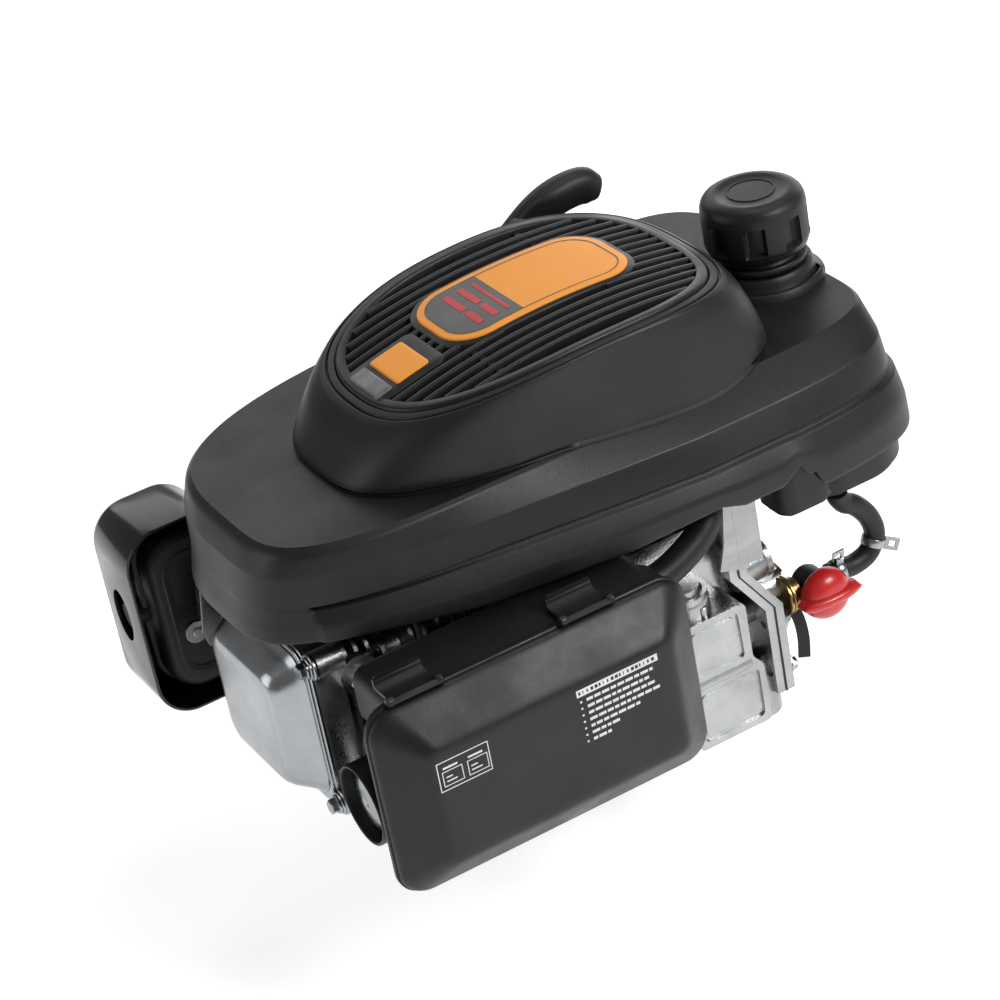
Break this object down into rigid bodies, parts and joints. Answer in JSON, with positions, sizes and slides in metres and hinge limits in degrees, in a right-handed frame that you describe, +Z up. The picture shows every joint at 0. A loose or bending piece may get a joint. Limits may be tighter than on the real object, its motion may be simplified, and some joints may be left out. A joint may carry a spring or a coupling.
{
  "type": "small gasoline engine",
  "caption": "Vertical-shaft single-cylinder overhead-valve gasoline engine with black covers, recoil starter, side air cleaner, muffler and keyed output shaft.",
  "frame": {"origin": "where the crankshaft's axis meets the mounting face under the feet", "axes": "+Z up along the crankshaft, away from the output shaft's end; +X towards the fuel tank, away from the cylinder head; -Y towards the air cleaner"},
  "size_m": [0.435, 0.306, 0.333],
  "materials": {
    "cast_aluminium": "as cast, satin",
    "rocker_steel": "pressed steel with a silver finish",
    "zinc_steel": "zinc plated",
    "sheet_steel": "bare sheet steel",
    "machined_steel": "machined",
    "forged_aluminium": "machined",
    "carburettor_alloy": "die cast",
    "bowl_steel": "pressed and plated",
    "flywheel_iron": "as cast",
    "black_cover": "fine grained, satin",
    "black_plastic": "smooth, satin",
    "black_rubber": "matte",
    "black_enamel": "gloss black enamel",
    "muffler_enamel": "heat resistant black",
    "exhaust_steel": "heat tinted",
    "bearing_bronze": "turned",
    "tap_brass": "machined",
    "lever_steel": "yellow zinc",
    "tap_red": "moulded",
    "badge_orange": "printed film under clear dome",
    "pulley_nylon": "moulded",
    "rope": "braided",
    "gasket": "pressed fibre",
    "plug_ceramic": "glazed",
    "filter_foam": "oiled foam"
  },
  "bodies": {
    "engine": {"crankcase": "cast_aluminium", "end_cover": "cast_aluminium", "sump": "cast_aluminium", "gaskets": "gasket", "flange_bolts": "zinc_steel", "main_bearings": "bearing_bronze", "crank_throw": "machined_steel", "connecting_rod": "forged_aluminium", "piston": "forged_aluminium", "cylinder_head": "cast_aluminium", "rocker_cover": "rocker_steel", "spark_plug": "plug_ceramic", "plug_boot": "black_rubber", "ignition_lead": "black_rubber", "ignition_coil": "black_plastic", "carburettor": "carburettor_alloy", "float_bowl": "bowl_steel", "choke_cup": "black_plastic", "choke_disc": "zinc_steel", "air_cleaner_base": "black_plastic", "filter_element": "filter_foam", "breather_hose": "black_rubber", "muffler": "muffler_enamel", "muffler_guard": "black_enamel", "exhaust_pipe": "exhaust_steel", "blower_housing": "sheet_steel", "top_cover": "black_cover", "fuel_tank": "black_plastic", "filler_neck": "black_plastic", "starter_housing": "black_cover", "grille": "black_plastic", "badges": "badge_orange", "fuel_hose": "black_rubber", "hose_clamps": "zinc_steel", "fuel_tap": "tap_brass", "control_plate": "sheet_steel", "starter_rope": "rope", "valve_springs": "machined_steel"},
    "crank": {"crankshaft": "machined_steel", "flywheel": "flywheel_iron", "cooling_fan": "black_plastic", "starter_cup": "sheet_steel"},
    "cam": {"camshaft": "machined_steel"},
    "intake_rocker_arm": {"intake_rocker": "machined_steel"},
    "exhaust_rocker_arm": {"exhaust_rocker": "machined_steel"},
    "intake_valve_stem": {"intake_valve": "machined_steel"},
    "exhaust_valve_stem": {"exhaust_valve": "machined_steel"},
    "intake_push": {"intake_pushrod": "machined_steel"},
    "exhaust_push": {"exhaust_pushrod": "machined_steel"},
    "recoil_handle": {"starter_handle": "black_rubber"},
    "recoil_pulley": {"starter_pulley": "pulley_nylon"},
    "tap_handle": {"tap_knob": "tap_red"},
    "filler_seal": {"cap_seal": "black_rubber"},
    "filler_cap": {"fuel_cap": "black_plastic"},
    "filter_cover": {"air_cleaner_cover": "black_plastic"},
    "left_latch": {"latch_left": "black_plastic"},
    "right_latch": {"latch_right": "black_plastic"},
    "oil_dipstick": {"dipstick": "black_plastic"},
    "throttle": {"throttle_lever": "lever_steel"},
    "choke": {"choke_lever": "lever_steel"}
  },
  "joints": [
    {"name": "crank_spin", "type": "hinge", "parent": "engine", "child": "crank", "pos_m": [0, 0, 0], "axis": [0, 0, 1], "continuous": true},
    {"name": "cam_spin", "type": "hinge", "parent": "engine", "child": "cam", "pos_m": [0.02933, 0.038, 0], "axis": [0, 0, 1], "continuous": true},
    {"name": "intake_rock", "type": "hinge", "parent": "engine", "child": "intake_rocker_arm", "pos_m": [-0.199, 0.021, 0.078], "axis": [0, 0, 1], "range_deg": [0, 12.5]},
    {"name": "intake_valve_lift", "type": "slide", "parent": "engine", "child": "intake_valve_stem", "axis": [1, 0, 0], "range_m": [0, 0.0038]},
    {"name": "intake_pushrod_lift", "type": "slide", "parent": "engine", "child": "intake_push", "axis": [-1, 0, 0], "range_m": [0, 0.0036], "stiffness_N_per_m": 200, "springref_m": -0.002},
    {"name": "exhaust_rock", "type": "hinge", "parent": "engine", "child": "exhaust_rocker_arm", "pos_m": [-0.199, 0.021, 0.106], "axis": [0, 0, 1], "range_deg": [0, 12.5]},
    {"name": "exhaust_valve_lift", "type": "slide", "parent": "engine", "child": "exhaust_valve_stem", "axis": [1, 0, 0], "range_m": [0, 0.0038]},
    {"name": "exhaust_pushrod_lift", "type": "slide", "parent": "engine", "child": "exhaust_push", "axis": [-1, 0, 0], "range_m": [0, 0.0036], "stiffness_N_per_m": 200, "springref_m": -0.002},
    {"name": "starter_pull", "type": "slide", "parent": "engine", "child": "recoil_handle", "axis": [0, 1, 0], "range_m": [0, 0.6], "stiffness_N_per_m": 20, "springref_m": -0.3, "deforming": ["starter_rope"]},
    {"name": "starter_pulley_spin", "type": "hinge", "parent": "engine", "child": "recoil_pulley", "pos_m": [0, 0, 0.248], "axis": [0, 0, 1], "range_deg": [0, 720]},
    {"name": "fuel_tap_turn", "type": "hinge", "parent": "engine", "child": "tap_handle", "pos_m": [0.112, -0.094, 0.074], "axis": [0, -1, 0], "range_deg": [0, 90]},
    {"name": "cap_lift", "type": "slide", "parent": "engine", "child": "filler_seal", "axis": [0, 0, 1], "range_m": [0, 0.06]},
    {"name": "cap_turn", "type": "hinge", "parent": "filler_seal", "child": "filler_cap", "pos_m": [0.162, 0.006, 0.25], "axis": [0, 0, 1], "range_deg": [0, 90]},
    {"name": "filter_cover_off", "type": "slide", "parent": "engine", "child": "filter_cover", "axis": [0, -1, 0], "range_m": [0, 0.08]},
    {"name": "left_latch_open", "type": "hinge", "parent": "filter_cover", "child": "left_latch", "pos_m": [-0.17, -0.138, 0.1639], "axis": [1, 0, 0], "range_deg": [0, 25], "stiffness_Nm_per_rad": 0.05, "springref_deg": -11.46},
    {"name": "right_latch_open", "type": "hinge", "parent": "filter_cover", "child": "right_latch", "pos_m": [-0.062, -0.138, 0.1639], "axis": [1, 0, 0], "range_deg": [0, 25], "stiffness_Nm_per_rad": 0.05, "springref_deg": -11.46},
    {"name": "dipstick_out", "type": "slide", "parent": "engine", "child": "oil_dipstick", "axis": [0, 0.7071, 0.7071], "range_m": [0, 0.09]},
    {"name": "throttle_turn", "type": "hinge", "parent": "engine", "child": "throttle", "pos_m": [-0.152, -0.065, 0.09], "axis": [0, 0, 1], "range_deg": [-60, 0]},
    {"name": "choke_turn", "type": "hinge", "parent": "engine", "child": "choke", "pos_m": [-0.152, -0.079, 0.09], "axis": [0, 0, 1], "range_deg": [-60, 0]}
  ],
  "couplings": [
    {"joint": "cam_spin", "follows": "crank_spin", "ratio": -0.5},
    {"joint": "intake_rock", "follows": "intake_pushrod_lift", "rad_per_m": 58.824},
    {"joint": "intake_valve_lift", "follows": "intake_pushrod_lift", "ratio": 1},
    {"joint": "exhaust_rock", "follows": "exhaust_pushrod_lift", "rad_per_m": 58.824},
    {"joint": "exhaust_valve_lift", "follows": "exhaust_pushrod_lift", "ratio": 1},
    {"joint": "starter_pulley_spin", "follows": "starter_pull", "rad_per_m": 20.833}
  ]
}
